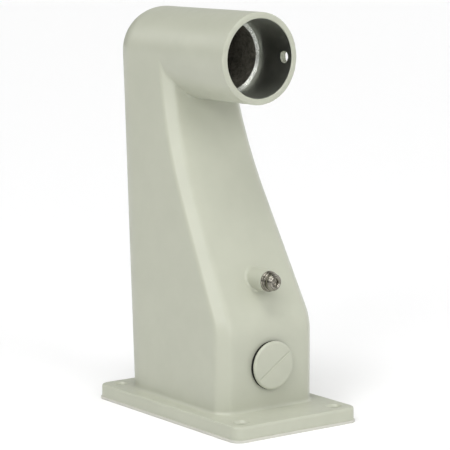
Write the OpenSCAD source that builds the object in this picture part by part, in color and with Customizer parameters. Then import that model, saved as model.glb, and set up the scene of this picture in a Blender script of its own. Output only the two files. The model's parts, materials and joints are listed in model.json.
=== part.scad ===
// Cast pendant arm bracket that stands on its wall flange.
// Origin: centre of the flange's mounting face, on the gasket's underside.
// +Z is away from the wall, +X is the way the tube socket opens, and the
// casting is symmetric about the XZ plane apart from the locking screw hole.

/* [Flange and gasket] */
// Flange length along X
flange_l = 185; // [180:1:200]
// Flange width along Y
flange_w = 115; // [110:1:130]
// Flange thickness
flange_t = 10; // [8:1:14]
// Flange corner radius
flange_r = 8; // [6:1:12]
// Gasket thickness
gasket_t = 2; // [1.5:0.5:4]
// How far the gasket stands out past the flange
gasket_lip = 1; // [0:0.5:1.5]
// Distance between screw holes along X
screw_span_x = 160; // [158:1:168]
// Distance between screw holes along Y
screw_span_y = 88; // [86:1:96]
// Diameter of the four screw holes
screw_hole_d = 8.5; // [6:0.5:9]

/* [Column] */
// Front face of the lower box, from the origin
front_x = 58; // [56:1:62]
// Back of the column at the foot, behind the origin
back_foot = 82; // [80:1:84]
// Back of the column at the shoulder, behind the origin
back_low = 85.5; // [84:0.5:88]
// Back of the elbow, behind the origin
back_high = 112; // [106:1:116]
// Width of the lower box
box_w = 91; // [88:1:96]
// Height where the front face starts to slope
shoulder_h = 76; // [74:1:82]
// Radius of the bend between the upright and the sloping face
shoulder_r = 33; // [20:1:34]
// Angle of the sloping face from the vertical
slope_angle = 29.4; // [27:0.1:30]
// Height where the sloping face starts to curve upright
arc_h = 169; // [160:1:176]
// Radius of that hollow curve, seen from the side
arc_r = 316; // [290:1:360]
// Radius of the front corners at the foot
corner_low = 13; // [10:1:16]
// Radius of the front corners under the tube
corner_high = 10; // [8:1:12]
// Wall thickness of the column
wall = 6; // [5:0.5:7]

/* [Tube socket] */
// Outside diameter of the tube
tube_d = 69.5; // [68:0.5:72]
// Height of the tube's axis
axis_h = 276; // [272:1:284]
// Mouth of the socket, from the origin
mouth_x = 44.3; // [42:0.1:50]
// Bore of the socket, for a 60 mm spigot
socket_d = 60; // [58:0.5:60.5]
// Depth of the socket
socket_depth = 40; // [36:1:44]
// Diameter of the cable way behind the socket
way_d = 52.8; // [48:0.4:54]
// Core diameter of the M10 hole for the locking screw
lock_core_d = 8.5; // [6.8:0.1:8.5]
// Distance of the locking screw hole from the mouth
lock_set = 9.2; // [8:0.1:14]

/* [Conduit plug] */
// Height of the plug's axis
plug_h = 46; // [43:0.5:48]
// Diameter of the plug head and its seal
plug_head_d = 37; // [36:0.1:42]
// Thickness of the plug head
plug_head_t = 2.2; // [1:0.1:3]
// Thickness of the seal
seal_t = 2.8; // [2:0.1:4]
// Core diameter of the M32 conduit thread
plug_core_d = 30.5; // [30:0.1:31]
// Length of the plug's threaded shank
plug_shank = 14; // [12:1:15]
// Thickness of the threaded pad inside the box
plug_pad = 11; // [10:1:13]
// Width of the screwdriver slot
slot_w = 1; // [0.6:0.1:3]
// Length of the screwdriver slot
slot_l = 34; // [30:1:36]
// Depth of the screwdriver slot
slot_depth = 0.8; // [0.5:0.1:1.5]
// Angle of the slot from the horizontal
slot_angle = 34; // [0:1:90]

/* [Earth screw] */
// Height of the earth screw's axis
earth_h = 109.5; // [106:0.5:114]
// Front face of the earth boss, from the origin
boss_x = 55.5; // [54:0.5:58]
// Diameter of the earth boss
boss_d = 17; // [16.5:0.5:22]
// Core diameter of the M8 thread
earth_core_d = 6.8; // [6.6:0.1:7]
// Depth of the tapped hole
earth_depth = 15; // [14:0.5:16]
// Length of the screw under its head
earth_l = 16; // [15:1:17]
// Diameter of the low cap head
cap_d = 13; // [12:0.1:13.3]
// Height of the low cap head
cap_t = 5; // [4.5:0.1:8]
// Key size of the hexagon socket
key_af = 6; // [5:1:6]
// Depth of the hexagon socket
key_depth = 2.8; // [2:0.1:4]
// Outside diameter of the flat washer
flat_d = 16; // [15:0.5:17]
// Thickness of the flat washer
flat_t = 1.6; // [1.4:0.1:2]
// Outside diameter of the split lock washer
lock_d = 14.8; // [13.5:0.1:14.8]
// Thickness of the split lock washer
lock_t = 2; // [1.8:0.1:2.2]
// Width of the lock washer's split
split_w = 1.2; // [0.8:0.1:2]

/* [Hidden] */
$fn = 96;
paint = [0.76, 0.76, 0.69];
steel = [0.7, 0.7, 0.68];
black = [0.08, 0.08, 0.07];
off_white = [0.9, 0.9, 0.88];

over = 1;                       // how far a cut runs past the face it opens
bite = 0.3;                     // how far the column's top sinks into the tube
run_fit = 0.05;                 // radial clearance of a screw in its hole
seat = gasket_t;                // height of the flange's underside
root_h = seat + flange_t / 2;   // where the column starts, inside the flange
tube_r = tube_d / 2;
way_r = way_d / 2;
elbow_x = tube_r - back_high;   // centre of the round end of the elbow
back_r = tube_r;                // the back is as round as the tube
way_wall = tube_r - way_r;      // wall thickness round the cable way
hollow_r = back_r - wall;       // radius of the hollow's back corners at the foot
hollow_corner = 8;              // radius of the hollow's front corners at the foot
hollow_corner_top = 5;          // radius of those corners under the tube
corner_steps = 8;               // facets of each rounded corner of the column
bend_steps = 4;                 // rings along the shoulder's bend
arc_steps = 7;                  // rings along the hollow curve of the front
window_gap = 2;                 // how far the gasket's window clears the hollow
shoulder_x = mouth_x - socket_depth;
washer_hole_d = 8.4;
seal_hole_d = plug_core_d + 0.8;
cap_x = boss_x + flat_t + lock_t;
plug_x = front_x + seal_t;
pad_d = 44;                     // diameter of the threaded pad
mouth_bevel = 0.6;

// The shoulder's bend starts at bend_low and ends on the slope at bend_high
bend_low = shoulder_h - shoulder_r * tan(slope_angle / 2);
bend_high = bend_low + shoulder_r * sin(slope_angle);
foot_of_arc = front_x - (arc_h - shoulder_h) * tan(slope_angle);

// Front face of the column at height h: upright, bending, sloping, curving
function front_at(h) =
    h < bend_low ? front_x :
    h < bend_high ? front_x - shoulder_r + sqrt(pow(shoulder_r, 2) - pow(h - bend_low, 2)) :
    h < arc_h ? front_x - (h - shoulder_h) * tan(slope_angle) :
    let (a = asin(sin(slope_angle) - (h - arc_h) / arc_r))
    foot_of_arc - arc_r * (cos(a) - cos(slope_angle));

// A size that is a at the shoulder and below, and b at the tube's axis
function blend(a, b, h) = a + (b - a) * max(0, min(1, (h - shoulder_h) / (axis_h - shoulder_h)));

// Back of the column at height h: it leans out a little, then more above the shoulder
function back_at(h) =
    h < shoulder_h
    ? back_foot + (back_low - back_foot) * max(0, h - root_h) / (shoulder_h - root_h)
    : blend(back_low, back_high - bite, h);

// Heights of the column's rings, from h0 up to the tube's axis
function stops(h0) = concat(
    [h0],
    [for (i = [0 : bend_steps]) bend_low + (bend_high - bend_low) * i / bend_steps],
    [for (i = [0 : arc_steps]) arc_h + (axis_h - arc_h) * i / arc_steps]);

// Quarter circle of radius r round [x, y], starting at angle a
function corner(x, y, r, a) =
    [for (i = [0 : corner_steps])
        [x + r * cos(a + 90 * i / corner_steps), y + r * sin(a + 90 * i / corner_steps)]];

// Plan of the column, with large corners at the back and small ones in front
function plan(x0, x1, w, r_back, r_front) =
    let (rb = min(r_back, w / 2 - bite), xb = x0 + rb, xf = x1 - r_front,
         yb = w / 2 - rb, yf = w / 2 - r_front)
    concat(corner(xf, yf, r_front, 0), corner(xb, yb, rb, 90),
           corner(xb, -yb, rb, 180), corner(xf, -yf, r_front, 270));

function outer_plan(h) =
    plan(-back_at(h), front_at(h), blend(box_w, tube_d - 2 * bite, h),
         back_r, blend(corner_low, corner_high, h));

function hollow_plan(h) =
    let (t = blend(wall, way_wall, h))
    plan(t - back_at(h), front_at(h) - t,
         blend(box_w, tube_d - 2 * bite, h) - 2 * t, back_r - t,
         blend(hollow_corner, hollow_corner_top, h));

// Solid through plans of equal length, one at each height
module loft(plans, heights) {
    n = len(plans[0]);
    last = len(plans) - 1;
    points = [for (k = [0 : last]) for (p = plans[k]) [p[0], p[1], heights[k]]];
    sides = [for (k = [0 : last - 1]) for (i = [0 : n - 1])
        let (a = k * n + i, b = k * n + (i + 1) % n)
        each [[a, a + n, b + n], [a, b + n, b]]];
    foot = [for (i = [0 : n - 1]) i];
    head = [for (i = [n - 1 : -1 : 0]) last * n + i];
    polyhedron(points, concat([foot, head], sides));
}

module along_x(x, h = axis_h) {
    translate([x, 0, h])
        rotate([0, 90, 0])
            children();
}

module column() {
    heights = stops(root_h);
    loft([for (h = heights) outer_plan(h)], heights);
}

module hollow() {
    heights = stops(seat - over);
    loft([for (h = heights) hollow_plan(h)], heights);
}

// Cylinder of length l with a round end below it
module round_ended(r, l) {
    rotate_extrude() {
        square([r, l]);
        intersection() {
            circle(r);
            translate([0, -r])
                square(r);
        }
    }
}

module tube() {
    along_x(elbow_x)
        round_ended(tube_r, mouth_x - elbow_x);
}

module tube_bore() {
    along_x(elbow_x)
        round_ended(way_r, shoulder_x + over - elbow_x);
    along_x(shoulder_x)
        cylinder(h = socket_depth + over, d = socket_d);
    along_x(mouth_x - mouth_bevel)
        cylinder(h = mouth_bevel + over, d1 = socket_d, d2 = socket_d + 2 * (mouth_bevel + over));
}

module flange() {
    translate([0, 0, seat])
        linear_extrude(flange_t)
            rounded(flange_l, flange_w, flange_r);
}

module rounded(l, w, r) {
    square([l - 2 * r, w], center = true);
    square([l, w - 2 * r], center = true);
    for (x = [-1, 1], y = [-1, 1])
        translate([x * (l / 2 - r), y * (w / 2 - r)])
            circle(r = r);
}

module screw_holes(z, depth) {
    for (x = [-1, 1], y = [-1, 1])
        translate([x * screw_span_x / 2, y * screw_span_y / 2, z - over])
            cylinder(h = depth + 2 * over, d = screw_hole_d);
}

module arm_casting() {
    color(paint)
        difference() {
            union() {
                flange();
                column();
                tube();
                along_x(boss_x - boss_d, earth_h)
                    cylinder(h = boss_d, d = boss_d);
            }
            difference() {
                union() {
                    hollow();
                    tube_bore();
                }
                along_x(front_x - plug_pad, plug_h)
                    cylinder(h = plug_pad, d = pad_d);
            }
            screw_holes(seat, flange_t);
            along_x(front_x - plug_pad - over, plug_h)
                cylinder(h = plug_pad + 2 * over, d = plug_core_d);
            along_x(boss_x - earth_depth, earth_h)
                cylinder(h = earth_depth + over, d = earth_core_d);
            translate([mouth_x - lock_set, 0, axis_h])
                rotate([-90, 0, 0])
                    cylinder(h = tube_r + over, d = lock_core_d);
        }
}

// The gasket's window follows the foot of the hollow
module window() {
    half_w = box_w / 2 - wall + window_gap;
    x0 = wall - window_gap - back_foot;
    x1 = front_x - wall + window_gap;
    polygon(plan(x0, x1, 2 * half_w, hollow_r + window_gap, hollow_corner + window_gap));
}

module wall_gasket() {
    color(off_white)
        difference() {
            linear_extrude(gasket_t)
                rounded(flange_l + 2 * gasket_lip, flange_w + 2 * gasket_lip,
                        flange_r + gasket_lip);
            translate([0, 0, -over])
                linear_extrude(gasket_t + 2 * over)
                    window();
            screw_holes(0, gasket_t);
        }
}

module conduit_plug() {
    color(paint)
        difference() {
            union() {
                along_x(plug_x, plug_h)
                    cylinder(h = plug_head_t, d = plug_head_d);
                along_x(plug_x - plug_shank, plug_h)
                    cylinder(h = plug_shank, d = plug_core_d - 2 * run_fit);
            }
            translate([plug_x + plug_head_t - slot_depth, 0, plug_h])
                rotate([slot_angle, 0, 0])
                    translate([0, -slot_l / 2, -slot_w / 2])
                        cube([slot_depth + over, slot_l, slot_w]);
        }
}

module plug_seal() {
    color(black)
        along_x(front_x, plug_h)
            difference() {
                cylinder(h = seal_t, d = plug_head_d);
                translate([0, 0, -over])
                    cylinder(h = seal_t + 2 * over, d = seal_hole_d);
            }
}

module earth_screw() {
    color(steel)
        along_x(cap_x, earth_h)
            difference() {
                union() {
                    translate([0, 0, -earth_l])
                        cylinder(h = earth_l, d = earth_core_d - 2 * run_fit);
                    cylinder(h = cap_t, d = cap_d);
                }
                translate([0, 0, cap_t - key_depth])
                    cylinder(h = key_depth + over, d = key_af / cos(30), $fn = 6);
            }
}

module earth_lock_washer() {
    color(steel)
        along_x(boss_x + flat_t, earth_h)
            difference() {
                cylinder(h = lock_t, d = lock_d);
                translate([0, 0, -over])
                    cylinder(h = lock_t + 2 * over, d = washer_hole_d);
                translate([0, -split_w / 2, -over])
                    cube([lock_d, split_w, lock_t + 2 * over]);
            }
}

module earth_flat_washer() {
    color(steel)
        along_x(boss_x, earth_h)
            difference() {
                cylinder(h = flat_t, d = flat_d);
                translate([0, 0, -over])
                    cylinder(h = flat_t + 2 * over, d = washer_hole_d);
            }
}

arm_casting();
wall_gasket();
conduit_plug();
plug_seal();
earth_screw();
earth_lock_washer();
earth_flat_washer();
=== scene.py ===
import json
import math

import bmesh
import bpy
import numpy as np
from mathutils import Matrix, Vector


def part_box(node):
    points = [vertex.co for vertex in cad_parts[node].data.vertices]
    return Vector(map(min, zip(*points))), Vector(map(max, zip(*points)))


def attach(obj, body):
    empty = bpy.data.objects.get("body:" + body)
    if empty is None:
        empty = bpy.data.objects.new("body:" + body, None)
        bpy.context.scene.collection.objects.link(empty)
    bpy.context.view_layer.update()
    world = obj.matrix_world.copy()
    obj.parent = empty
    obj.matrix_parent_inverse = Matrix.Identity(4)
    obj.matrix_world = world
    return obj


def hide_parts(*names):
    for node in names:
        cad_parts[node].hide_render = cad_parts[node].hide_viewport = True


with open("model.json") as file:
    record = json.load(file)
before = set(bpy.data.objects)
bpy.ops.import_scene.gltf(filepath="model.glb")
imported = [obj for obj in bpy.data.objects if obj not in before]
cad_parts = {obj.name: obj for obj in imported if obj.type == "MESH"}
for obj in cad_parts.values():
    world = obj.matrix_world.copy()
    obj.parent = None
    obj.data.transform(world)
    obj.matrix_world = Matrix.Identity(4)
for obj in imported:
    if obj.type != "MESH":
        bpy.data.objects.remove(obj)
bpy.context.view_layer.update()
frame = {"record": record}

# ---------------------------------------------------------------------------
# Sizes. What the frame states is read from it, and the rest are named here.
# ---------------------------------------------------------------------------
MM = 0.001
mounts = {m["name"]: m for m in frame["record"]["mounts"]}
socket = mounts["tube_socket"]
screw_pattern = mounts["wall_screws"]["dims"]
lock_hole = mounts["locking_screw_hole"]
gasket_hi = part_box("wall_gasket")[1]
arm_lo, arm_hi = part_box("arm_casting")
plug_lo, plug_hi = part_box("conduit_plug")
seal_lo, seal_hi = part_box("plug_seal")
flat_lo, flat_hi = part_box("earth_flat_washer")
lock_lo, lock_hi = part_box("earth_lock_washer")
screw_lo, screw_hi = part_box("earth_screw")

# Flange, which stands on the gasket
SEAT_Z = gasket_hi.z
FLANGE_TOP = SEAT_Z + 10 * MM
FLANGE_X, FLANGE_Y = 92.5 * MM, arm_hi.y
FLANGE_CORNER = 8 * MM
FLANGE_EDGE = 1.9 * MM
HOLE_BEVEL = 1.9 * MM
FOOT_FILLET = 2.4 * MM

# Tube and socket
AXIS_Z = socket["pos_m"][2]
TUBE_R = arm_hi.z - AXIS_Z
SOCKET_R = socket["dims"]["r_mm"] * MM
MOUTH_BEVEL = 0.6 * MM
MOUTH_X = socket["pos_m"][0] + socket["dims"]["length_mm"] * MM / 2 + MOUTH_BEVEL
SHOULDER_X = socket["pos_m"][0] - socket["dims"]["length_mm"] * MM / 2 - MOUTH_BEVEL
MOUTH_EDGE = 1.3 * MM
ELBOW_X = arm_lo.x + TUBE_R
SHOULDER_CUT = 0.25 * MM
WAY_R = 26.4 * MM

# The tube's fillet against the column. Two surfaces that face the same way differ
# by 0 and two at a right angle by 1: the fillet starts at the first number, and is
# full where the second has been added.
TUBE_FILLET = 0.7 * MM
FACING_START, FACING_SPAN = 0.03, 0.6

# Column: front face, back, width and corners
FRONT_X = seal_lo.x
BEND_Z = 76 * MM
BEND_R = 33 * MM
SLOPE = math.radians(29.4)
ARC_Z = 169 * MM
ARC_R = 316 * MM
BACK_FOOT = 82 * MM
BACK_LOW = 85.5 * MM
BACK_HIGH = -arm_lo.x
BACK_EASE = 6 * MM
HALF_WIDTH = 45.5 * MM
SIDE_EASE = 12 * MM
CORNER_LOW = 13 * MM
CORNER_HIGH = 10 * MM
CORNER_FLAT = 1.0 * MM
CORNER_BLEND = 0.5 * MM
WALL = 6 * MM
HOLLOW_CORNER = 7 * MM
HOLLOW_TAPER = 0.4 * MM

# Conduit entry and plug
PLUG_Z = (plug_lo.z + plug_hi.z) / 2
PLUG_R = (plug_hi.z - plug_lo.z) / 2
CONDUIT_CREST, CONDUIT_CORE, CONDUIT_PITCH = 16 * MM, 15.25 * MM, 1.5 * MM
PAD_R, PAD_T = 22 * MM, 11 * MM

# Earth screw and boss
EARTH_Z = (flat_lo.z + flat_hi.z) / 2
BOSS_X = flat_lo.x
BOSS_R = 8.5 * MM
BOSS_EDGE = 0.8 * MM
BOSS_FILLET = 1.5 * MM
EARTH_CREST, EARTH_CORE, EARTH_PITCH = 4 * MM, 3.4 * MM, 1.25 * MM
EARTH_DEPTH = 15 * MM
WASHER_BORE_R = 4.2 * MM
LOCK_WASHER_R = 7.4 * MM
KEY_FLATS, KEY_DEPTH = 5.6 * MM, 2.6 * MM

# Threads: how much wider a tapped hole's is cut, how much thinner a screw's is,
# and the empty locking screw hole's own depth and pitch
CONDUIT_PLAY, EARTH_PLAY = 0.08 * MM, 0.06 * MM
THREAD_SLACK = 0.05 * MM
LOCK_DEPTH, LOCK_PITCH = 0.75 * MM, 1.5 * MM

# Mesh density: the step of the casting's skin, how near the skin its field is
# worked out in full, and how many sides a turned part has
SKIN_STEP = 1.45 * MM
SKIN_BAND = 7 * MM
SMALL_ROUND, ROUND, LARGE_ROUND, BORE_ROUND = 48, 96, 144, 160

# Materials: where most of a noise's values lie, and how far apart the rings are
# that a turning tool leaves
NOISE_LOW, NOISE_HIGH = 0.3, 0.7
RING_PITCH = 0.3 * MM


# ---------------------------------------------------------------------------
# The casting's outer shape, as a field that is negative inside it. Every
# function takes points as three arrays, x, y and z.
# ---------------------------------------------------------------------------
def eased(distance, ease):
    """Grows like distance, but starts level. ease is how soon it straightens."""
    return np.sqrt(distance * distance + ease * ease) - ease


def ramp(distance, ease):
    """0 below 0 and distance above it, with a rounded corner between them."""
    return (distance + np.sqrt(distance * distance + ease * ease)) / 2


def box_corner(a, b, r):
    """Field of a solid whose two faces, a and b, meet in an edge of radius r."""
    return np.minimum(np.maximum(a + r, b + r), 0) + np.hypot(
        np.maximum(a + r, 0), np.maximum(b + r, 0)) - r


def joined(a, b, fillet):
    """Union of two fields with a round fillet between them."""
    return np.maximum(fillet, np.minimum(a, b)) - np.hypot(
        np.maximum(fillet - a, 0), np.maximum(fillet - b, 0))


def front_at(z):
    """Front face of the column: upright, bending, sloping, then curving upright."""
    bend_low = BEND_Z - BEND_R * math.tan(SLOPE / 2)
    bend_high = bend_low + BEND_R * math.sin(SLOPE)
    arc_x = FRONT_X - (ARC_Z - BEND_Z) * math.tan(SLOPE)
    bend = FRONT_X - BEND_R + np.sqrt(np.maximum(BEND_R ** 2 - (z - bend_low) ** 2, 0))
    slope = FRONT_X - (z - BEND_Z) * math.tan(SLOPE)
    turn = np.arcsin(np.clip(math.sin(SLOPE) - (z - ARC_Z) / ARC_R, -1, 1))
    arc = arc_x - ARC_R * (np.cos(turn) - math.cos(SLOPE))
    return np.select([z < bend_low, z < bend_high, z < ARC_Z], [FRONT_X, bend, slope], arc)


def back_at(z):
    """How far the column's back stands behind the origin."""
    rise = AXIS_Z - BEND_Z
    upper = (BACK_HIGH - BACK_LOW) / eased(rise, BACK_EASE)
    lower = (BACK_LOW - BACK_FOOT) / (BEND_Z - FLANGE_TOP)
    below = ramp(BEND_Z - z, BACK_EASE)
    under_axis = eased(np.maximum(AXIS_Z - z, 0) - below, BACK_EASE)
    return BACK_HIGH - upper * under_axis - lower * below


def half_width_at(z):
    """Half the column's width: parallel below the bend, tapering to the tube's."""
    rise = AXIS_Z - BEND_Z
    taper = (HALF_WIDTH - TUBE_R) / eased(rise, SIDE_EASE)
    under_axis = np.maximum(AXIS_Z - z, 0) - ramp(BEND_Z - z, SIDE_EASE)
    return TUBE_R + taper * eased(under_axis, SIDE_EASE)


def corner_at(z):
    """Radius of the column's front corners, before they are flattened."""
    share = np.clip((z - BEND_Z) / (AXIS_Z - BEND_Z), 0, 1)
    return CORNER_LOW + (CORNER_HIGH - CORNER_LOW) * share


def both(a, b, blend):
    """Overlap of two fields, rounded where their surfaces meet."""
    near = np.maximum(blend - np.abs(a - b), 0)
    return np.maximum(a, b) + near * near / (4 * blend)


def rounded_plan(x, y, x0, x1, half_width, r_back, r_front):
    """Field of a plan from x0 to x1. The front corners are rounded and then flattened."""
    middle = (x0 + x1) / 2
    a, b = np.abs(x - middle) - (x1 - x0) / 2, np.abs(y) - half_width
    behind = box_corner(a, b, r_back)
    cut = r_front * (math.sqrt(2) - 1) + CORNER_FLAT
    ahead = both(box_corner(a, b, r_front), (a + b) / math.sqrt(2) + cut, CORNER_BLEND)
    return np.where(x < middle, behind, ahead)


def shaft(x, y, z):
    """The column without an end."""
    width = half_width_at(z)
    return rounded_plan(x, y, -back_at(z), front_at(z), width,
                        np.minimum(TUBE_R, width), corner_at(z))


def column(x, y, z):
    return np.maximum(shaft(x, y, z), z - AXIS_Z)


def tube(x, y, z):
    """The tube, with its round end over the elbow and a rounded edge at its mouth."""
    radial = np.sqrt(np.minimum(x - ELBOW_X, 0) ** 2 + y ** 2 + (z - AXIS_Z) ** 2) - TUBE_R
    return box_corner(radial, x - MOUTH_X, MOUTH_EDGE)


def flange(x, y, z):
    outline = box_corner(np.abs(x) - FLANGE_X, np.abs(y) - FLANGE_Y, FLANGE_CORNER)
    return box_corner(outline, z - FLANGE_TOP, FLANGE_EDGE)


def boss(x, y, z):
    """The earth screw's boss, which reaches back into the column."""
    radial = np.hypot(y, z - EARTH_Z) - BOSS_R
    return np.maximum(box_corner(radial, x - BOSS_X, BOSS_EDGE), FRONT_X - PAD_R * 2 - x)


def gradient(field, x, y, z):
    """The field's rise along X, Y and Z."""
    d = 0.05 * MM
    return np.stack([
        field(x + d, y, z) - field(x - d, y, z),
        field(x, y + d, z) - field(x, y - d, z),
        field(x, y, z + d) - field(x, y, z - d)]) / (2 * d)


def plain_arm(x, y, z):
    """The casting without fillets, which finds quickly where its skin is."""
    return np.minimum.reduce([column(x, y, z), tube(x, y, z), flange(x, y, z), boss(x, y, z)])


def arm(x, y, z):
    """The whole casting. The tube's fillet fades out where tube and column run flush."""
    a, b = column(x, y, z), tube(x, y, z)
    slope_a, slope_b = gradient(shaft, x, y, z), gradient(tube, x, y, z)
    steep = np.linalg.norm(slope_a, axis=0) + 1e-9
    facing = (slope_a * slope_b).sum(0) / (steep * (np.linalg.norm(slope_b, axis=0) + 1e-9))
    share = np.clip((1 - facing - FACING_START) / FACING_SPAN, 0, 1)
    share = share * share * (3 - 2 * share)
    upper = joined(a / steep, b, TUBE_FILLET * share + 1e-6)
    upper = joined(upper, boss(x, y, z), BOSS_FILLET)
    return joined(upper, flange(x, y, z), FOOT_FILLET)


def capped(field, bottom):
    """The same field with a flat underside."""
    return lambda x, y, z: np.maximum(field(x, y, z), bottom - z)


# ---------------------------------------------------------------------------
# Mesh making
# ---------------------------------------------------------------------------
def new_object(name, points, faces):
    mesh = bpy.data.meshes.new(name)
    mesh.from_pydata([tuple(p) for p in points], [], [tuple(f) for f in faces])
    mesh.validate()
    obj = bpy.data.objects.new(name, mesh)
    bpy.context.scene.collection.objects.link(obj)
    return obj


def surface_net(rough, field, lo, hi, step):
    """Points and quads round field = 0: one point for each cell that it crosses."""
    axes = [np.arange(a, b + step, step) for a, b in zip(lo, hi)]
    grid = np.meshgrid(*axes, indexing="ij")
    value = rough(*grid)
    near = np.abs(value) < SKIN_BAND
    value[near] = field(*(g[near] for g in grid))
    inside = value < 0
    nx, ny, nz = inside.shape

    def corner(a, i, j, k):
        return a[i:nx - 1 + i, j:ny - 1 + j, k:nz - 1 + k]

    corners = [(i, j, k) for i in (0, 1) for j in (0, 1) for k in (0, 1)]
    count = sum(corner(inside, *c).astype(int) for c in corners)
    active = (count > 0) & (count < 8)
    index = np.full(active.shape, -1)
    index[active] = np.arange(active.sum())
    total = np.zeros((3, active.sum()))
    crossings = np.zeros(active.sum())
    for c in corners:
        for axis in range(3):
            if c[axis]:
                continue
            far = tuple(v + (n == axis) for n, v in enumerate(c))
            v0, v1 = corner(value, *c)[active], corner(value, *far)[active]
            crossed = (v0 < 0) != (v1 < 0)
            share = np.where(crossed, v0 / np.where(crossed, v0 - v1, 1), 0)
            for n in range(3):
                start = corner(grid[n], *c)[active]
                end = corner(grid[n], *far)[active]
                total[n] += np.where(crossed, start + (end - start) * share, 0)
            crossings += crossed
    points = (total / crossings).T

    quads = []
    for axis in range(3):
        b, c = (axis + 1) % 3, (axis + 2) % 3
        low = [slice(1, -1)] * 3
        high = [slice(1, -1)] * 3
        low[axis], high[axis] = slice(0, -1), slice(1, None)
        starts_in = inside[tuple(low)]
        crossed = starts_in != inside[tuple(high)]
        at = np.argwhere(crossed)
        at[:, b] += 1
        at[:, c] += 1
        ring = []
        for shift_b, shift_c in ((0, 0), (-1, 0), (-1, -1), (0, -1)):
            cell = at.copy()
            cell[:, b] += shift_b
            cell[:, c] += shift_c
            ring.append(index[tuple(cell.T)])
        quad = np.stack(ring, axis=1)
        inward = ~starts_in[crossed]
        quad[inward] = quad[inward][:, ::-1]
        quads.append(quad)
    return points, np.concatenate(quads)


def settle(points, field, step):
    """Moves points onto field = 0 along its gradient."""
    x, y, z = points.T
    rise = gradient(field, x, y, z)
    move = field(x, y, z) * rise / ((rise ** 2).sum(0) + 1e-12)
    return points - np.clip(move, -step, step).T


def evened(points, quads, field, step, rounds=4):
    """Spreads points evenly over the surface: towards their neighbours, then back on."""
    edges = np.concatenate([quads[:, [i, (i + 1) % 4]] for i in range(4)])
    for _ in range(rounds):
        total = np.zeros_like(points)
        count = np.zeros(len(points))
        np.add.at(total, edges[:, 0], points[edges[:, 1]])
        np.add.at(count, edges[:, 0], 1)
        points = settle((points + total / count[:, None]) / 2, field, step)
    return settle(settle(points, field, step), field, step)


def loft(name, rings, closed=False):
    """Skin through rings of equal length, capped at both ends or closed on itself."""
    n = len(rings[0])
    points = [p for ring in rings for p in ring]
    spans = len(rings) if closed else len(rings) - 1
    faces = []
    for k in range(spans):
        a, b = k * n, ((k + 1) % len(rings)) * n
        faces += [(a + i, a + (i + 1) % n, b + (i + 1) % n, b + i) for i in range(n)]
    if not closed:
        faces.append(tuple(reversed(range(n))))
        faces.append(tuple(range(len(points) - n, len(points))))
    obj = new_object(name, points, faces)
    outward(obj)
    return obj


def outward(obj):
    """Merges points that coincide and turns every face outward."""
    bm = bmesh.new()
    bm.from_mesh(obj.data)
    bmesh.ops.remove_doubles(bm, verts=bm.verts, dist=1e-7)
    bmesh.ops.recalc_face_normals(bm, faces=bm.faces)
    bm.to_mesh(obj.data)
    bm.free()


def softened(outline, radius, steps=3, closed=True):
    """The outline with each corner cut into a small curve. radius may be a list."""
    radii = radius if isinstance(radius, (list, tuple)) else [radius] * len(outline)
    result = []
    for i, (point, r) in enumerate(zip(outline, radii)):
        at_end = not closed and i in (0, len(outline) - 1)
        if at_end or r == 0:
            result.append(point)
            continue
        here = Vector(point)
        before = Vector(outline[i - 1]) - here
        after = Vector(outline[(i + 1) % len(outline)]) - here
        cut = min(r, before.length * 0.49, after.length * 0.49)
        start, end = here + before.normalized() * cut, here + after.normalized() * cut
        for k in range(steps + 1):
            t = k / steps
            result.append(tuple(start * (1 - t) ** 2 + here * 2 * t * (1 - t) + end * t * t))
    return result


def turned(name, profile, height, closed=False, segments=ROUND, wobble=None):
    """A part turned about an axis along X at a height. profile is (x, radius) pairs."""
    rings = []
    for x, r in profile:
        ring = []
        for i in range(segments):
            a = 2 * math.pi * i / segments
            out = r + (wobble(x, r, a) if wobble else 0)
            ring.append((x, out * math.cos(a), height + out * math.sin(a)))
        rings.append(ring)
    return loft(name, rings, closed)


def threaded_profile(x0, x1, core, crest, pitch):
    """Rows for turned(), fine enough for a thread, and the wobble that makes it."""
    rows = max(2, round((x1 - x0) / (pitch / 8)))
    profile = [(x0 + (x1 - x0) * i / rows, core) for i in range(rows + 1)]

    def wobble(x, r, a):
        phase = (x / pitch - a / (2 * math.pi)) % 1
        height = min(1, max(0, 2.6 * abs(2 * phase - 1) - 0.8))
        fade = min(1, (x - x0) / pitch, (x1 - x) / pitch)
        return (crest - core) * height * max(0, fade)

    return profile, wobble


def threaded_rod(name, x0, x1, core, crest, pitch, height, segments):
    profile, wobble = threaded_profile(x0, x1, core, crest, pitch)
    return turned(name, profile, height, segments=segments, wobble=wobble)


def combined(obj, other, operation="DIFFERENCE"):
    """Applies an exact boolean to obj and removes other. New faces keep other's material."""
    modifier = obj.modifiers.new("cut", "BOOLEAN")
    modifier.operation = operation
    modifier.solver = "MANIFOLD"
    modifier.object = other
    modifier.material_mode = "TRANSFER"
    bpy.context.view_layer.update()
    graph = bpy.context.evaluated_depsgraph_get()
    mesh = bpy.data.meshes.new_from_object(obj.evaluated_get(graph))
    obj.modifiers.clear()
    old = obj.data
    obj.data = mesh
    bpy.data.meshes.remove(old)
    bpy.data.objects.remove(other)
    return obj


def smooth(obj, sharp_degrees=34):
    """Smooth shading, except across edges that turn more than sharp_degrees."""
    for polygon in obj.data.polygons:
        polygon.use_smooth = True
    obj.data.set_sharp_from_angle(angle=math.radians(sharp_degrees))
    return obj


def along_y(obj, x, z):
    """Turns a part made about X so that it lies about Y at x and z."""
    for v in obj.data.vertices:
        v.co = Vector((x - v.co.y, v.co.x, z + v.co.z))
    outward(obj)
    return obj


def along_z(obj, x, y):
    """Turns a part made about X so that it stands about Z at x and y."""
    for v in obj.data.vertices:
        v.co = Vector((x - v.co.z, y + v.co.y, v.co.x))
    outward(obj)
    return obj


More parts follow.
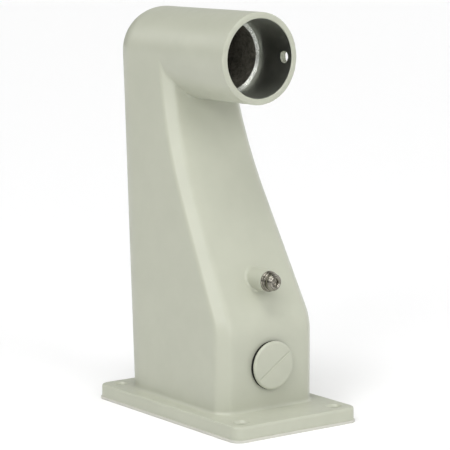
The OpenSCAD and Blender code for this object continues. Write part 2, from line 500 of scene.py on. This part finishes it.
# ---------------------------------------------------------------------------
# Materials
# ---------------------------------------------------------------------------
class Nodes:
    """Short calls for a material's node tree."""

    def __init__(self, name):
        self.material = bpy.data.materials.new(name)
        self.material.use_nodes = True
        self.tree = self.material.node_tree
        self.shader = self.tree.nodes["Principled BSDF"]
        self.place = self.add("ShaderNodeTexCoord").outputs["Object"]

    def add(self, kind, **settings):
        node = self.tree.nodes.new(kind)
        for key, value in settings.items():
            if hasattr(node, key):
                setattr(node, key, value)
            else:
                node.inputs[key.replace("_", " ")].default_value = value
        return node

    def link(self, source, target):
        self.tree.links.new(source, target)
        return target

    def mapped(self, scale):
        node = self.add("ShaderNodeMapping")
        node.inputs["Scale"].default_value = scale
        self.link(self.place, node.inputs["Vector"])
        return node.outputs["Vector"]

    def noise(self, scale, detail=3.0, roughness=0.5, vector=None):
        node = self.add("ShaderNodeTexNoise")
        node.inputs["Scale"].default_value = scale
        node.inputs["Detail"].default_value = detail
        node.inputs["Roughness"].default_value = roughness
        self.link(vector or self.place, node.inputs["Vector"])
        return node.outputs["Fac"]

    def spread(self, value, out_low, out_high, low=NOISE_LOW, high=NOISE_HIGH):
        """Value stretched from its own range to another one."""
        node = self.add("ShaderNodeMapRange")
        for key, number in (("From Min", low), ("From Max", high),
                            ("To Min", out_low), ("To Max", out_high)):
            node.inputs[key].default_value = number
        self.link(value, node.inputs["Value"])
        return node.outputs["Result"]

    def between(self, factor, first, second):
        """Colour from first to second as factor goes from 0 to 1."""
        node = self.add("ShaderNodeMix", data_type="RGBA")
        self.link(factor, node.inputs[0])
        node.inputs[6].default_value = (*first, 1)
        node.inputs[7].default_value = (*second, 1)
        return node.outputs[2]

    def bump(self, height, distance, strength=1.0, normal=None):
        node = self.add("ShaderNodeBump")
        node.inputs["Strength"].default_value = strength
        node.inputs["Distance"].default_value = distance
        self.link(height, node.inputs["Height"])
        if normal:
            self.link(normal, node.inputs["Normal"])
        return node.outputs["Normal"]

    def arithmetic(self, operation, value, number):
        node = self.add("ShaderNodeMath", operation=operation)
        self.link(value, node.inputs[0])
        node.inputs[1].default_value = number
        return node.outputs[0]

    def vector_math(self, operation, *sources):
        node = self.add("ShaderNodeVectorMath", operation=operation)
        for source, target in zip(sources, node.inputs):
            self.link(source, target)
        return node

    def turned_normal(self, height, pitch, tilt):
        """Normal of a face that was turned about an axis along X at a height.

        Fine rings, one for each pitch outward from the axis, lean it inward and
        outward. tilt is how far, as a slope.
        """
        surface = self.add("ShaderNodeNewGeometry").outputs
        apart = self.add("ShaderNodeSeparateXYZ")
        self.link(surface["Position"], apart.inputs[0])
        spoke = self.add("ShaderNodeCombineXYZ")
        self.link(apart.outputs["Y"], spoke.inputs["Y"])
        above = self.arithmetic("SUBTRACT", apart.outputs["Z"], height)
        self.link(above, spoke.inputs["Z"])
        distance = self.vector_math("LENGTH", spoke.outputs[0]).outputs["Value"]
        lean = self.spread(self.arithmetic("MODULO", distance, pitch), -tilt, tilt, 0, pitch)
        away = self.vector_math("NORMALIZE", spoke.outputs[0])
        sideways = self.vector_math("SCALE", away.outputs[0])
        self.link(lean, sideways.inputs["Scale"])
        total = self.vector_math("ADD", surface["Normal"], sideways.outputs[0])
        return self.vector_math("NORMALIZE", total.outputs[0]).outputs[0]

    def finish(self, color=None, roughness=None, normal=None, **constants):
        if color:
            self.link(color, self.shader.inputs["Base Color"])
        if roughness:
            self.link(roughness, self.shader.inputs["Roughness"])
        if normal:
            self.link(normal, self.shader.inputs["Normal"])
        for key, value in constants.items():
            self.shader.inputs[key.replace("_", " ")].default_value = value
        return self.material


def paint():
    """Satin light grey-green paint: faint mottling, orange peel and a fine grain."""
    n = Nodes("satin_paint")
    mottle = n.noise(45, 4, 0.55)
    color = n.between(n.spread(mottle, 0, 1), (0.438, 0.451, 0.367), (0.458, 0.471, 0.384))
    peel = n.noise(420, 2, 0.5)
    grain = n.noise(2600, 2, 0.5)
    normal = n.bump(grain, 0.012 * MM, 0.5, n.bump(peel, 0.05 * MM, 0.6))
    rough = n.spread(n.noise(160, 3), 0.31, 0.40)
    return n.finish(color, rough, normal, Specular_IOR_Level=0.45)


def shade_darkened_bore_metal():
    """Bored aluminium, its colour darkened as painted shade for the inside of the bore: fine rings along
    the bore and a satin sheen.
    """
    n = Nodes("bored_aluminium")
    rings = n.noise(1, 3, 0.6, n.mapped((1800, 5, 5)))
    stain = n.noise(38, 3, 0.5)
    # The dark tone is painted shade: the bore's inside, darker than the shoulder's bright metal.
    color = n.between(n.spread(stain, 0, 1), (0.36, 0.372, 0.335), (0.50, 0.515, 0.47))
    normal = n.bump(rings, 0.012 * MM, 0.6)
    rough = n.spread(rings, 0.34, 0.46)
    return n.finish(color, rough, normal, Metallic=1.0)


def faced_aluminium():
    """The socket's shoulder: bright bare aluminium with the rings that facing leaves."""
    n = Nodes("faced_aluminium")
    grain = n.noise(900, 3, 0.6)
    color = n.between(n.spread(grain, 0, 1), (0.80, 0.81, 0.77), (0.90, 0.91, 0.87))
    rough = n.spread(n.noise(120, 2), 0.2, 0.3)
    return n.finish(color, rough, n.turned_normal(AXIS_Z, RING_PITCH, 0.85), Metallic=1.0)


def shade_darkened_cast_skin():
    """Unpainted casting skin deep in the cable way and the hollow: duller than machined metal, and
    darkened further as painted shade for its depth.
    """
    n = Nodes("rough_cast_aluminium")
    lumps = n.noise(300, 5, 0.6)
    grit = n.noise(1500, 3, 0.6)
    # Very dark tone: partly the dull as-cast skin, partly painted shade deep in the cable way.
    color = n.between(n.spread(lumps, 0, 1), (0.13, 0.122, 0.10), (0.30, 0.285, 0.24))
    normal = n.bump(grit, 0.15 * MM, 0.8, n.bump(lumps, 0.6 * MM, 0.8))
    rough = n.spread(grit, 0.5, 0.8)
    return n.finish(color, rough, normal, Metallic=0.75)


def stainless():
    """Turned stainless steel: fine lines along it and rings on its faces."""
    n = Nodes("stainless_steel")
    lines = n.noise(1, 3, 0.6, n.mapped((5200, 60, 60)))
    tone = n.noise(240, 3)
    color = n.between(n.spread(tone, 0, 1), (0.15, 0.142, 0.115), (0.38, 0.36, 0.312))
    normal = n.bump(lines, 0.008 * MM, 0.6, n.turned_normal(EARTH_Z, RING_PITCH, 0.7))
    rough = n.spread(lines, 0.10, 0.18)
    return n.finish(color, rough, normal, Metallic=1.0)


def rubber():
    """Matt black moulded rubber with a fine bloom."""
    n = Nodes("black_rubber")
    bloom = n.noise(500, 4, 0.6)
    bloomed = n.spread(bloom, 0, 1, low=0.35)
    color = n.between(bloomed, (0.006, 0.006, 0.005), (0.016, 0.016, 0.014))
    normal = n.bump(n.noise(2200, 3), 0.03 * MM, 0.6)
    rough = n.spread(bloom, 0.55, 0.75)
    return n.finish(color, rough, normal, Specular_IOR_Level=0.2)


def foam():
    """Pale grey closed-cell gasket sheet with fine cells on its cut edge."""
    n = Nodes("gasket_foam")
    cells = n.add("ShaderNodeTexVoronoi", feature="F1")
    cells.inputs["Scale"].default_value = 2400
    n.link(n.place, cells.inputs["Vector"])
    tone = n.noise(120, 3)
    color = n.between(n.spread(tone, 0, 1), (0.53, 0.527, 0.475), (0.56, 0.556, 0.503))
    normal = n.bump(cells.outputs["Distance"], 0.06 * MM, 0.5)
    return n.finish(color, n.spread(tone, 0.75, 0.9), normal)


def backdrop():
    """Plain pale floor with the faintest paper grain."""
    n = Nodes("pale_paper")
    grain = n.noise(900, 3)
    color = n.between(grain, (0.945, 0.945, 0.945), (0.96, 0.96, 0.96))
    return n.finish(color, n.spread(grain, 0.7, 0.8), n.bump(grain, 0.02 * MM, 0.3))


# ---------------------------------------------------------------------------
# Pieces
# ---------------------------------------------------------------------------
def quarter(x, y, r, start, steps):
    """Points along a quarter circle."""
    return [(x + r * math.cos(start + math.pi / 2 * i / steps),
             y + r * math.sin(start + math.pi / 2 * i / steps)) for i in range(steps + 1)]


def plan_points(x0, x1, half_width, r_back, r_front, steps=14):
    """Outline of a plan with one corner radius behind and one in front."""
    r_back = min(r_back, half_width - 0.1 * MM)
    xb, xf, yb, yf = x0 + r_back, x1 - r_front, half_width - r_back, half_width - r_front
    q = math.pi / 2
    return (quarter(xf, yf, r_front, 0, steps) + quarter(xb, yb, r_back, q, steps)
            + quarter(xb, -yb, r_back, 2 * q, steps) + quarter(xf, -yf, r_front, 3 * q, steps))


def hollow_cutter():
    """The column's hollow, open below, without the pad that the conduit thread needs."""
    heights = np.concatenate([np.linspace(SEAT_Z - 2 * MM, FLANGE_TOP, 4)[:-1],
                              np.linspace(FLANGE_TOP, AXIS_Z, 46)])
    rings = []
    for z in heights:
        share = min(1, max(0, (z - BEND_Z) / (AXIS_Z - BEND_Z)))
        t = WALL + (TUBE_R - WAY_R - WALL) * share
        half_width = float(half_width_at(z)) - t - HOLLOW_TAPER * share
        plan = plan_points(t - float(back_at(z)), float(front_at(z)) - t, half_width,
                           TUBE_R - t, HOLLOW_CORNER)
        rings.append([(x, y, z) for x, y in plan])
    cutter = loft("hollow", rings)
    cutter.data.materials.append(materials["cast"])
    profile = softened([(FRONT_X - PAD_T, 1 * MM), (FRONT_X - PAD_T, PAD_R),
                        (FRONT_X + 2 * MM, PAD_R), (FRONT_X + 2 * MM, 1 * MM)],
                       [0, 1.5 * MM, 0, 0], closed=False)
    pad = turned("pad", profile, PLUG_Z)
    pad.data.materials.append(materials["cast"])
    return combined(cutter, pad)


def way_cutter():
    """The cable way behind the socket: a bore with a round end."""
    end = [(ELBOW_X - WAY_R * math.cos(a), WAY_R * math.sin(a))
           for a in np.linspace(0.02, math.pi / 2, 18)]
    profile = end + [(SHOULDER_X - 0.5 * MM, WAY_R), (SHOULDER_X + 1 * MM, WAY_R + 1 * MM)]
    cutter = turned("way", profile, AXIS_Z, segments=128)
    cutter.data.materials.append(materials["cast"])
    return cutter


def socket_cutter():
    """The bored wall of the socket."""
    cutter = turned("socket", [(SHOULDER_X + 0.3 * MM, SOCKET_R), (MOUTH_X + 2 * MM, SOCKET_R)],
                    AXIS_Z, segments=BORE_ROUND)
    cutter.data.materials.append(materials["bare"])
    return cutter


def mouth_cutter():
    """Bevels the socket's mouth. The paint reaches round into it."""
    profile = [(MOUTH_X - MOUTH_BEVEL - 1 * MM, SOCKET_R - 1 * MM),
               (MOUTH_X + 2 * MM, SOCKET_R + MOUTH_BEVEL + 2 * MM)]
    cutter = turned("mouth", profile, AXIS_Z, segments=BORE_ROUND)
    cutter.data.materials.append(materials["paint"])
    return cutter


def shoulder_cutter():
    """Faces the shoulder. The socket's own cut then takes the rest of the bore."""
    r = SOCKET_R - SHOULDER_CUT
    cutter = turned("shoulder", [(SHOULDER_X, r), (SHOULDER_X + 1 * MM, r)], AXIS_Z,
                    segments=BORE_ROUND)
    cutter.data.materials.append(materials["faced"])
    return cutter


def lock_hole_cutter():
    """The tapped hole for the locking screw, countersunk outside."""
    r = lock_hole["dims"]["r_mm"] * MM
    inner, outer = SOCKET_R - 2 * MM, TUBE_R + 2 * MM
    cutter = threaded_rod("lock_hole", inner, outer, r, r + LOCK_DEPTH, LOCK_PITCH, 0, SMALL_ROUND)
    sink = turned("sink", [(TUBE_R - 1 * MM, r - 0.4 * MM), (outer, r + 2.4 * MM)], 0,
                  segments=SMALL_ROUND)
    combined(cutter, sink, "UNION")
    along_y(cutter, lock_hole["pos_m"][0], AXIS_Z)
    cutter.data.materials.append(materials["bare"])
    return cutter


def screw_hole_cutter(x, y):
    """A wall screw's hole through the flange, countersunk on top."""
    r = screw_pattern["hole_r_mm"] * MM
    profile = [(SEAT_Z - 1 * MM, r), (FLANGE_TOP - HOLE_BEVEL, r),
               (FLANGE_TOP + HOLE_BEVEL, r + 2 * HOLE_BEVEL)]
    cutter = along_z(turned("screw_hole", profile, 0, segments=SMALL_ROUND), x, y)
    cutter.data.materials.append(materials["paint"])
    return cutter


def conduit_cutter():
    """The conduit entry's tapped hole, bevelled in front."""
    cutter = threaded_rod("conduit", FRONT_X - PAD_T - 1 * MM, FRONT_X + 1 * MM, CONDUIT_CORE,
                          CONDUIT_CREST + CONDUIT_PLAY, CONDUIT_PITCH, PLUG_Z, ROUND)
    bevel = turned("bevel", [(FRONT_X - 0.8 * MM, CONDUIT_CORE),
                             (FRONT_X + 1 * MM, CONDUIT_CORE + 1.8 * MM)], PLUG_Z)
    combined(cutter, bevel, "UNION")
    cutter.data.materials.append(materials["bare"])
    return cutter


def earth_cutter():
    """The earth screw's blind tapped hole, bevelled in front."""
    cutter = threaded_rod("earth_hole", BOSS_X - EARTH_DEPTH, BOSS_X + 1 * MM, EARTH_CORE,
                          EARTH_CREST + EARTH_PLAY, EARTH_PITCH, EARTH_Z, SMALL_ROUND)
    bevel = turned("earth_bevel", [(BOSS_X - 0.7 * MM, EARTH_CORE),
                                   (BOSS_X + 1 * MM, EARTH_CORE + 1.7 * MM)], EARTH_Z)
    combined(cutter, bevel, "UNION")
    cutter.data.materials.append(materials["bare"])
    return cutter


def base_cutter():
    """Cuts the skin flat at the flange's underside."""
    r, deep = 0.2, SEAT_Z - 20 * MM
    square = [(-r, -r), (r, -r), (r, r), (-r, r)]
    cutter = loft("base", [[(x, y, z) for x, y in square] for z in (deep, SEAT_Z)])
    cutter.data.materials.append(materials["paint"])
    return cutter


def arm_casting():
    """The casting: its skin, and then everything that is cored, bored or drilled."""
    lo = (arm_lo.x - 3 * MM, arm_lo.y - 3 * MM, SEAT_Z - 4 * MM)
    hi = (arm_hi.x + 3 * MM, arm_hi.y + 3 * MM, arm_hi.z + 3 * MM)
    bottom = lo[2] + 1.5 * MM
    whole = capped(arm, bottom)
    points, quads = surface_net(capped(plain_arm, bottom), whole, lo, hi, SKIN_STEP)
    points = evened(points, quads, whole, SKIN_STEP)
    obj = new_object("arm_casting_skin", points, quads)
    obj.data.materials.append(materials["paint"])
    combined(obj, base_cutter())
    combined(obj, hollow_cutter())
    combined(obj, way_cutter())
    combined(obj, shoulder_cutter())
    combined(obj, socket_cutter())
    combined(obj, mouth_cutter())
    combined(obj, lock_hole_cutter())
    combined(obj, conduit_cutter())
    combined(obj, earth_cutter())
    for sx in (-1, 1):
        for sy in (-1, 1):
            combined(obj, screw_hole_cutter(sx * screw_pattern["spacing_x_mm"] * MM / 2,
                                            sy * screw_pattern["spacing_y_mm"] * MM / 2))
    smooth(obj)
    return place(obj, "casting", "arm_casting", "painted_casting")


def place(obj, body, node, slot, material=None):
    """Gives a piece its material and its body, and hides the node that it replaces; slot is not used."""
    if material:
        obj.data.materials.clear()
        obj.data.materials.append(material)
    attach(obj, body)
    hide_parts(node)
    return obj


def wall_gasket():
    """Sheet with a slightly swollen edge, a window under the hollow and four holes."""
    x, y, t = gasket_hi.x, gasket_hi.y, gasket_hi.z
    corner = FLANGE_CORNER + 1 * MM
    rings = []
    for height, inset in ((0, 0.35), (0.15, 0.12), (0.4, 0.02), (0.7, 0), (0.85, 0.03),
                          (0.96, 0.14), (1, 0.35)):
        d = inset * MM
        plan = plan_points(d - x, x - d, y - d, corner - d, corner - d, 10)
        rings.append([(px, py, height * t) for px, py in plan])
    obj = loft("gasket_sheet", rings)
    window = plan_points(WALL - BACK_FOOT - 2 * MM, FRONT_X - WALL + 2 * MM,
                         HALF_WIDTH - WALL + 2 * MM, TUBE_R - WALL + 2 * MM, 10 * MM)
    combined(obj, loft("window", [[(px, py, z) for px, py in window] for z in (-t, 2 * t)]))
    r = screw_pattern["hole_r_mm"] * MM
    for sx in (-1, 1):
        for sy in (-1, 1):
            hole = turned("gasket_hole", [(-t, r), (2 * t, r)], 0, segments=SMALL_ROUND)
            combined(obj, along_z(hole, sx * screw_pattern["spacing_x_mm"] * MM / 2,
                                  sy * screw_pattern["spacing_y_mm"] * MM / 2))
    smooth(obj)
    return place(obj, "casting", "wall_gasket", "gasket_foam", materials["foam"])


def conduit_plug():
    """Thin head with a broad bevel, a shallow slot and a threaded shank."""
    face, under = plug_hi.x, seal_hi.x
    thread_end = plug_lo.x
    head = softened([(under, 8 * MM), (under, PLUG_R), (face - 0.9 * MM, PLUG_R),
                     (face - 0.1 * MM, PLUG_R - 1.1 * MM), (face, PLUG_R - 2.6 * MM),
                     (face, 8 * MM)],
                    [0, 0.1 * MM, 0.6 * MM, 0.7 * MM, 0.5 * MM, 0], closed=False)
    obj = turned("plug_head", head, PLUG_Z, segments=LARGE_ROUND)
    shank = threaded_rod("shank", thread_end, under + 0.5 * MM, CONDUIT_CORE - THREAD_SLACK,
                         CONDUIT_CREST - THREAD_SLACK, CONDUIT_PITCH, PLUG_Z, ROUND)
    combined(obj, shank, "UNION")
    combined(obj, slot_cutter(face))
    smooth(obj, 28)
    return place(obj, "plug", "conduit_plug", "painted_plug", materials["paint"])


def slot_cutter(face):
    """A shallow groove across the plug, narrowing as it goes in, with round ends."""
    half_l, half_w, deep, angle = 17 * MM, 0.45 * MM, 0.4 * MM, math.radians(34)
    rings = []
    for x, share in ((face - deep, 0.35), (face - 0.8 * deep, 0.62), (face + 0.05 * MM, 1),
                     (face + 1 * MM, 1.1)):
        w = half_w * share
        ends = [(half_l - w + w * math.cos(a), w * math.sin(a))
                for a in np.linspace(-math.pi / 2, math.pi / 2, 9)]
        ring = ends + [(-u, -v) for u, v in ends]
        rings.append([(x, u * math.cos(angle) - v * math.sin(angle),
                       PLUG_Z + u * math.sin(angle) + v * math.cos(angle)) for u, v in ring])
    return loft("slot", rings)


def plug_seal():
    """Rubber ring squeezed under the plug's head, so that its rim swells a little."""
    x0, x1 = seal_lo.x, seal_hi.x
    inner, outer = CONDUIT_CREST + 0.15 * MM, PLUG_R - 0.25 * MM
    swell = [(x0 + (x1 - x0) * t, outer + 0.3 * MM * math.sin(math.pi * t))
             for t in np.linspace(0, 1, 9)]
    profile = [(x0, inner)] + swell + [(x1, inner)]
    obj = turned("seal_ring", profile, PLUG_Z - 0.15 * MM, closed=True, segments=LARGE_ROUND)
    smooth(obj)
    return place(obj, "seal", "plug_seal", "black_rubber", materials["rubber"])


def hexagon(name, x0, x1, across_flats, height):
    """A six-sided bar along X."""
    r = across_flats / 2 / math.cos(math.pi / 6)
    return turned(name, [(x0, r), (x1, r)], height, segments=6)


def earth_screw():
    """Low cap screw: a domed head with a raised ring, a hexagon socket and its thread."""
    seat, top, r = lock_hi.x, screw_hi.x, (screw_hi.z - screw_lo.z) / 2
    head = softened([(seat, 2 * MM), (seat, r - 0.4 * MM), (seat + 0.4 * MM, r), (top - 1.8 * MM, r),
                     (top - 0.5 * MM, r - 1.3 * MM), (top - 0.8 * MM, r - 1.6 * MM), (top, r - 2.2 * MM),
                     (top, r - 2.7 * MM), (top - 0.9 * MM, r - 3.5 * MM), (top - 0.9 * MM, 2 * MM)],
                    [0, 0.1 * MM, 0.1 * MM, 0.5 * MM, 0.15 * MM, 0.1 * MM, 0.2 * MM, 0.2 * MM, 0, 0],
                    closed=False)
    obj = turned("screw_head", head, EARTH_Z)
    shank = threaded_rod("shank", screw_lo.x, seat + 0.5 * MM, EARTH_CORE - THREAD_SLACK,
                         EARTH_CREST - THREAD_SLACK, EARTH_PITCH, EARTH_Z, SMALL_ROUND)
    combined(obj, shank, "UNION")
    combined(obj, hexagon("key", top - KEY_DEPTH, top + 1 * MM, KEY_FLATS, EARTH_Z))
    smooth(obj, 40)
    return place(obj, "screw", "earth_screw", "stainless_steel", materials["steel"])


def earth_flat_washer():
    """Plain washer, its outer edge well rounded in front."""
    inner, outer = WASHER_BORE_R, (flat_hi.z - flat_lo.z) / 2
    profile = softened([(flat_lo.x, inner), (flat_lo.x, outer), (flat_hi.x, outer),
                        (flat_hi.x, inner)], [0.12 * MM, 0.15 * MM, 0.78 * MM, 0.3 * MM])
    obj = turned("flat_washer", profile, EARTH_Z, closed=True)
    smooth(obj, 50)
    return place(obj, "washers", "earth_flat_washer", "stainless_steel", materials["steel"])


def earth_lock_washer():
    """Split ring of nearly square section, with a slanting split at one side."""
    inner, outer = WASHER_BORE_R, LOCK_WASHER_R
    profile = softened([(lock_lo.x, inner), (lock_lo.x, outer), (lock_hi.x, outer),
                        (lock_hi.x, inner)], [0.2 * MM, 0.3 * MM, 0.9 * MM, 0.2 * MM])
    middle, slant = (lock_lo.x + lock_hi.x) / 2, 0.12 / MM
    split_at, half_gap, turns = -0.6, 0.09, 88
    rings = []
    for i in range(turns + 1):
        ring = []
        for x, r in profile:
            edge = half_gap + (x - middle) * slant
            a = split_at + edge + (2 * math.pi - 2 * half_gap) * i / turns
            ring.append((x, r * math.cos(a), EARTH_Z + r * math.sin(a)))
        rings.append(ring)
    obj = loft("lock_washer", rings)
    smooth(obj, 50)
    return place(obj, "washers", "earth_lock_washer", "stainless_steel", materials["steel"])


# ---------------------------------------------------------------------------
# Studio
# ---------------------------------------------------------------------------
def aim(obj, place_at, target):
    """Puts obj somewhere, with its -Z axis towards the target."""
    obj.location = place_at
    obj.rotation_mode = "QUATERNION"
    obj.rotation_quaternion = (Vector(target) - Vector(place_at)).to_track_quat("-Z", "Y")


def camera():
    """A long lens from the front left of the mouth, a little above the middle."""
    turn, rise, far = math.radians(36.42), math.radians(8.62), 1.6221
    target = Vector((0, 0, 0.1455))
    away = Vector((math.cos(rise) * math.cos(turn), -math.cos(rise) * math.sin(turn), math.sin(rise)))
    data = bpy.data.cameras.new("camera")
    data.lens, data.sensor_width = 168.5, 36
    data.clip_start, data.clip_end = 0.1, 200
    obj = bpy.data.objects.new("camera", data)
    bpy.context.scene.collection.objects.link(obj)
    aim(obj, target + away * far, target)
    bpy.context.scene.camera = obj


def far_light(name, toward_it, degrees, strength):
    """A broad panel so far away that it lights everything evenly."""
    data = bpy.data.lights.new(name, "SUN")
    data.angle, data.energy = math.radians(degrees), strength
    obj = bpy.data.objects.new(name, data)
    bpy.context.scene.collection.objects.link(obj)
    aim(obj, toward_it, (0, 0, 0))


def soft_light(name, place_at, target, size, watts):
    """A round panel near the part."""
    data = bpy.data.lights.new(name, "AREA")
    data.shape, data.size, data.energy = "DISK", size, watts
    obj = bpy.data.objects.new(name, data)
    bpy.context.scene.collection.objects.link(obj)
    aim(obj, place_at, target)


FAR_LIGHTS = (
    # name, direction the light comes from, degrees across, strength
    ("overhead", (0.1, -0.3, 1.0), 42, 1.87),
    ("left", (0.39, -0.75, 0.52), 42, 0.37),
    ("front", (0.9, 0, 0.5), 30, 0.74),
    ("low", (0.8, -0.5, 0.3), 20, 0.48),
)
SKY = (
    # direction the light comes from, strength, sharpness
    ((0, 1, 0.15), 0.72, 1),
    ((0.3, 1, 0.2), 0.58, 4),
    ((-0.8, -0.47, 0.4), 3.0, 60),
)
BACK_WALL = (0.96, 0.96, 0.96)
FLOOR_HALF = 60.0


def sky(lobes):
    """A soft studio: light that fades smoothly away from each lobe, before a pale wall."""
    world = bpy.data.worlds.new("studio")
    world.use_nodes = True
    tree = world.node_tree
    background = tree.nodes["Background"]
    place = tree.nodes.new("ShaderNodeTexCoord").outputs["Generated"]
    total = None
    for direction, strength, sharpness in lobes:
        dot = tree.nodes.new("ShaderNodeVectorMath")
        dot.operation = "DOT_PRODUCT"
        dot.inputs[1].default_value = Vector(direction).normalized()
        tree.links.new(place, dot.inputs[0])
        value = dot.outputs["Value"]
        for operation, number in (("MAXIMUM", 0), ("POWER", sharpness), ("MULTIPLY", strength)):
            step = tree.nodes.new("ShaderNodeMath")
            step.operation = operation
            step.inputs[1].default_value = number
            tree.links.new(value, step.inputs[0])
            value = step.outputs["Value"]
        if total:
            add = tree.nodes.new("ShaderNodeMath")
            add.operation = "ADD"
            tree.links.new(total, add.inputs[0])
            tree.links.new(value, add.inputs[1])
            value = add.outputs["Value"]
        total = value
    seen = tree.nodes.new("ShaderNodeMix")
    seen.data_type = "RGBA"
    tree.links.new(tree.nodes.new("ShaderNodeLightPath").outputs["Is Camera Ray"], seen.inputs[0])
    tree.links.new(total, seen.inputs[6])
    seen.inputs[7].default_value = (*BACK_WALL, 1)
    tree.links.new(seen.outputs[2], background.inputs["Color"])
    background.inputs["Strength"].default_value = 1
    bpy.context.scene.world = world


def studio():
    """Lights, sky and a pale floor."""
    middle = (0, 0, 0.15)
    soft_light("key", (0.6, -1.15, 0.95), middle, 0.5, 4)
    for light in FAR_LIGHTS:
        far_light(*light)
    sky(SKY)
    bpy.context.scene.view_settings.view_transform = "Standard"
    corners = [(-1, -1), (1, -1), (1, 1), (-1, 1)]
    floor = new_object("floor", [(x * FLOOR_HALF, y * FLOOR_HALF, 0) for x, y in corners],
                       [(0, 1, 2, 3)])
    floor.data.materials.append(backdrop())


materials = {
    "paint": paint(),
    # The bored metal's colour is painted shade.
    "bare": shade_darkened_bore_metal(),
    "faced": faced_aluminium(),
    # The cast skin's colour is partly painted shade.
    "cast": shade_darkened_cast_skin(),
    "steel": stainless(),
    "rubber": rubber(),
    "foam": foam(),
}
camera()
arm_casting()
wall_gasket()
conduit_plug()
plug_seal()
earth_flat_washer()
earth_lock_washer()
earth_screw()
studio()
